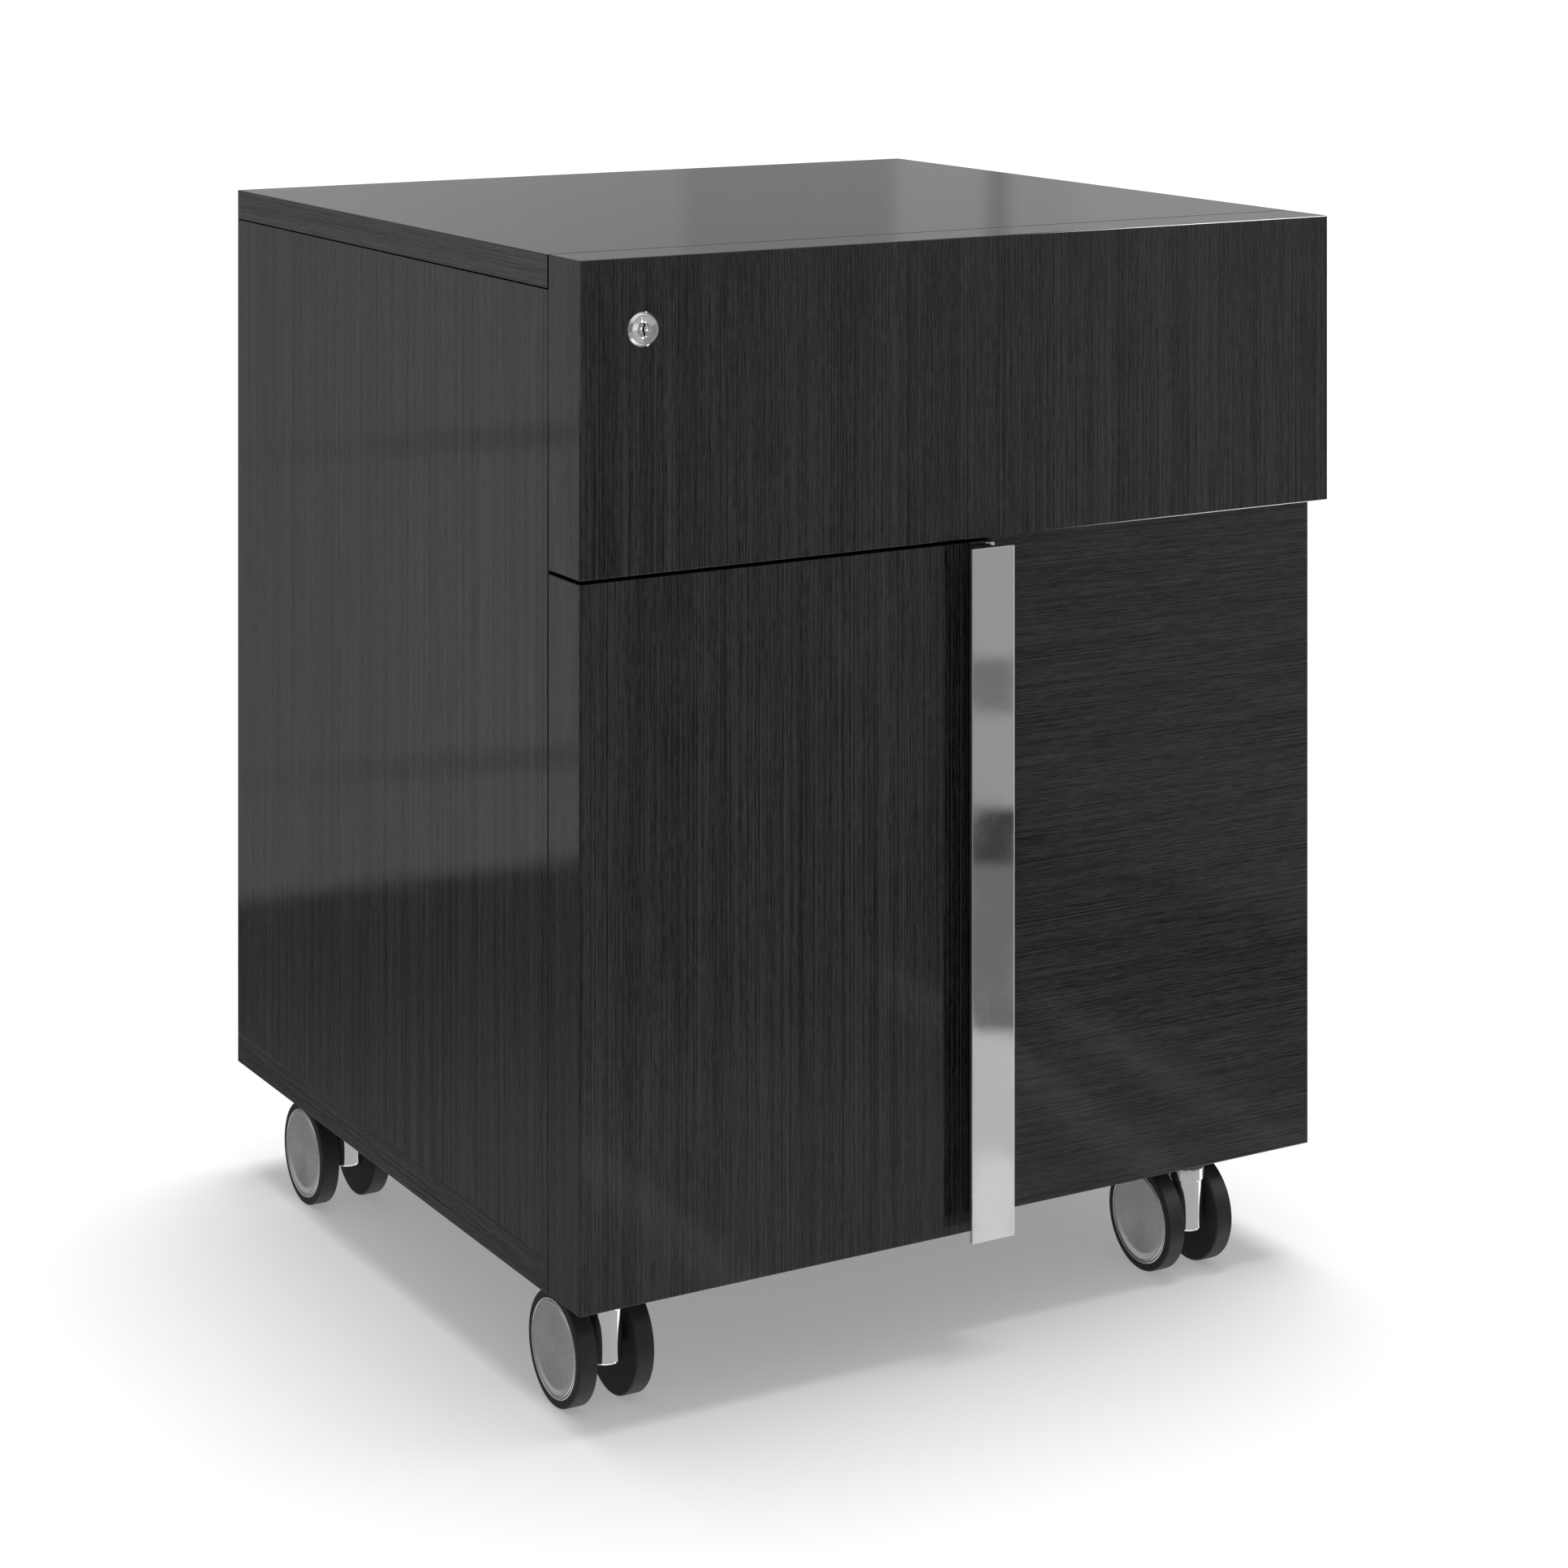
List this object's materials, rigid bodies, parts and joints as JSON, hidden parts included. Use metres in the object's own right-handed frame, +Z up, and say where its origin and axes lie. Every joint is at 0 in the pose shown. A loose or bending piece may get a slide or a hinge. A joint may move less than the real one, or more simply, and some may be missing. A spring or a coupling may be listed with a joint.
{
  "type": "pedestal cabinet",
  "caption": "Black wood-grain rolling pedestal with a lockable drawer over a file drawer with a full-height chrome pull, on twin-wheel swivel casters.",
  "frame": {"origin": "on the floor, in the middle of the overall footprint, handle included", "axes": "+X to the right seen from the front, +Y to the back, +Z up; the fronts face -Y"},
  "size_m": [0.482, 0.483, 0.6033],
  "materials": {
    "black_wood": "black stained fine-grained veneer under gloss lacquer",
    "grey_board": "dark grey melamine, matt",
    "beech": "raw beech dowel",
    "zinc_steel": "zinc plated sheet steel",
    "screw_steel": "bright zinc plated",
    "chrome": "polished chrome",
    "caster_chrome": "polished chrome",
    "wheel_plastic": "dark grey soft-tread plastic",
    "cap_metal": "satin grey metal"
  },
  "bodies": {
    "cabinet": {"top_panel": "black_wood", "bottom_panel": "black_wood", "left_side_panel": "black_wood", "right_side_panel": "black_wood", "back_panel": "grey_board", "panel_dowels": "beech", "cam_connectors": "zinc_steel", "cabinet_rails": "zinc_steel", "cabinet_rail_screws": "screw_steel", "caster_plates": "zinc_steel", "caster_plate_screws": "screw_steel"},
    "top_drawer": {"top_drawer_front": "black_wood", "top_drawer_sides": "grey_board", "top_drawer_cross_boards": "grey_board", "top_drawer_bottom": "grey_board", "top_drawer_rails": "zinc_steel", "top_drawer_rail_screws": "screw_steel", "top_front_screws": "screw_steel", "lock_barrel": "chrome", "lock_nut": "zinc_steel"},
    "top_middle": {"top_middle_rails": "zinc_steel"},
    "lock": {"lock_plug": "chrome", "lock_cam": "zinc_steel", "lock_cam_screw": "screw_steel"},
    "file_drawer": {"file_front_left": "black_wood", "file_front_right": "black_wood", "handle": "chrome", "handle_screws": "screw_steel", "file_front_screws": "screw_steel", "file_drawer_sides": "grey_board", "file_drawer_cross_boards": "grey_board", "file_drawer_bottom": "grey_board", "hanging_rails": "zinc_steel", "file_drawer_rails": "zinc_steel", "file_drawer_rail_screws": "screw_steel"},
    "file_middle": {"file_middle_rails": "zinc_steel"},
    "front_left_caster": {"front_left_housing": "caster_chrome", "front_left_axle": "screw_steel"},
    "front_left_wheel_a": {"front_left_wheel_a": "wheel_plastic", "front_left_cap_a": "cap_metal"},
    "front_left_wheel_b": {"front_left_wheel_b": "wheel_plastic", "front_left_cap_b": "cap_metal"},
    "front_right_caster": {"front_right_housing": "caster_chrome", "front_right_axle": "screw_steel"},
    "front_right_wheel_a": {"front_right_wheel_a": "wheel_plastic", "front_right_cap_a": "cap_metal"},
    "front_right_wheel_b": {"front_right_wheel_b": "wheel_plastic", "front_right_cap_b": "cap_metal"},
    "rear_left_caster": {"rear_left_housing": "caster_chrome", "rear_left_axle": "screw_steel"},
    "rear_left_wheel_a": {"rear_left_wheel_a": "wheel_plastic", "rear_left_cap_a": "cap_metal"},
    "rear_left_wheel_b": {"rear_left_wheel_b": "wheel_plastic", "rear_left_cap_b": "cap_metal"},
    "rear_right_caster": {"rear_right_housing": "caster_chrome", "rear_right_axle": "screw_steel"},
    "rear_right_wheel_a": {"rear_right_wheel_a": "wheel_plastic", "rear_right_cap_a": "cap_metal"},
    "rear_right_wheel_b": {"rear_right_wheel_b": "wheel_plastic", "rear_right_cap_b": "cap_metal"}
  },
  "joints": [
    {"name": "top_drawer_slide", "type": "slide", "parent": "cabinet", "child": "top_drawer", "axis": [0, -1, 0], "range_m": [0, 0.38]},
    {"name": "top_middle_slide", "type": "slide", "parent": "cabinet", "child": "top_middle", "axis": [0, -1, 0], "range_m": [0, 0.19]},
    {"name": "file_drawer_slide", "type": "slide", "parent": "cabinet", "child": "file_drawer", "axis": [0, -1, 0], "range_m": [0, 0.38]},
    {"name": "file_middle_slide", "type": "slide", "parent": "cabinet", "child": "file_middle", "axis": [0, -1, 0], "range_m": [0, 0.19]},
    {"name": "lock_turn", "type": "hinge", "parent": "top_drawer", "child": "lock", "pos_m": [-0.2045, -0.2265, 0.5661], "axis": [0, -1, 0], "range_deg": [0, 90]},
    {"name": "front_left_swivel", "type": "hinge", "parent": "cabinet", "child": "front_left_caster", "pos_m": [-0.2101, -0.195, 0.03], "axis": [0, 0, 1], "continuous": true},
    {"name": "front_left_spin_a", "type": "hinge", "parent": "front_left_caster", "child": "front_left_wheel_a", "pos_m": [-0.2267, -0.179, 0.03], "axis": [1, 0, 0], "continuous": true},
    {"name": "front_left_spin_b", "type": "hinge", "parent": "front_left_caster", "child": "front_left_wheel_b", "pos_m": [-0.1935, -0.179, 0.03], "axis": [1, 0, 0], "continuous": true},
    {"name": "front_right_swivel", "type": "hinge", "parent": "cabinet", "child": "front_right_caster", "pos_m": [0.1641, -0.195, 0.03], "axis": [0, 0, 1], "continuous": true},
    {"name": "front_right_spin_a", "type": "hinge", "parent": "front_right_caster", "child": "front_right_wheel_a", "pos_m": [0.1475, -0.179, 0.03], "axis": [1, 0, 0], "continuous": true},
    {"name": "front_right_spin_b", "type": "hinge", "parent": "front_right_caster", "child": "front_right_wheel_b", "pos_m": [0.1807, -0.179, 0.03], "axis": [1, 0, 0], "continuous": true},
    {"name": "rear_left_swivel", "type": "hinge", "parent": "cabinet", "child": "rear_left_caster", "pos_m": [-0.2101, 0.142, 0.03], "axis": [0, 0, 1], "continuous": true},
    {"name": "rear_left_spin_a", "type": "hinge", "parent": "rear_left_caster", "child": "rear_left_wheel_a", "pos_m": [-0.2267, 0.158, 0.03], "axis": [1, 0, 0], "continuous": true},
    {"name": "rear_left_spin_b", "type": "hinge", "parent": "rear_left_caster", "child": "rear_left_wheel_b", "pos_m": [-0.1935, 0.158, 0.03], "axis": [1, 0, 0], "continuous": true},
    {"name": "rear_right_swivel", "type": "hinge", "parent": "cabinet", "child": "rear_right_caster", "pos_m": [0.1641, 0.142, 0.03], "axis": [0, 0, 1], "continuous": true},
    {"name": "rear_right_spin_a", "type": "hinge", "parent": "rear_right_caster", "child": "rear_right_wheel_a", "pos_m": [0.1475, 0.158, 0.03], "axis": [1, 0, 0], "continuous": true},
    {"name": "rear_right_spin_b", "type": "hinge", "parent": "rear_right_caster", "child": "rear_right_wheel_b", "pos_m": [0.1807, 0.158, 0.03], "axis": [1, 0, 0], "continuous": true}
  ],
  "couplings": [
    {"joint": "top_middle_slide", "follows": "top_drawer_slide", "ratio": 0.5},
    {"joint": "file_middle_slide", "follows": "file_drawer_slide", "ratio": 0.5}
  ]
}
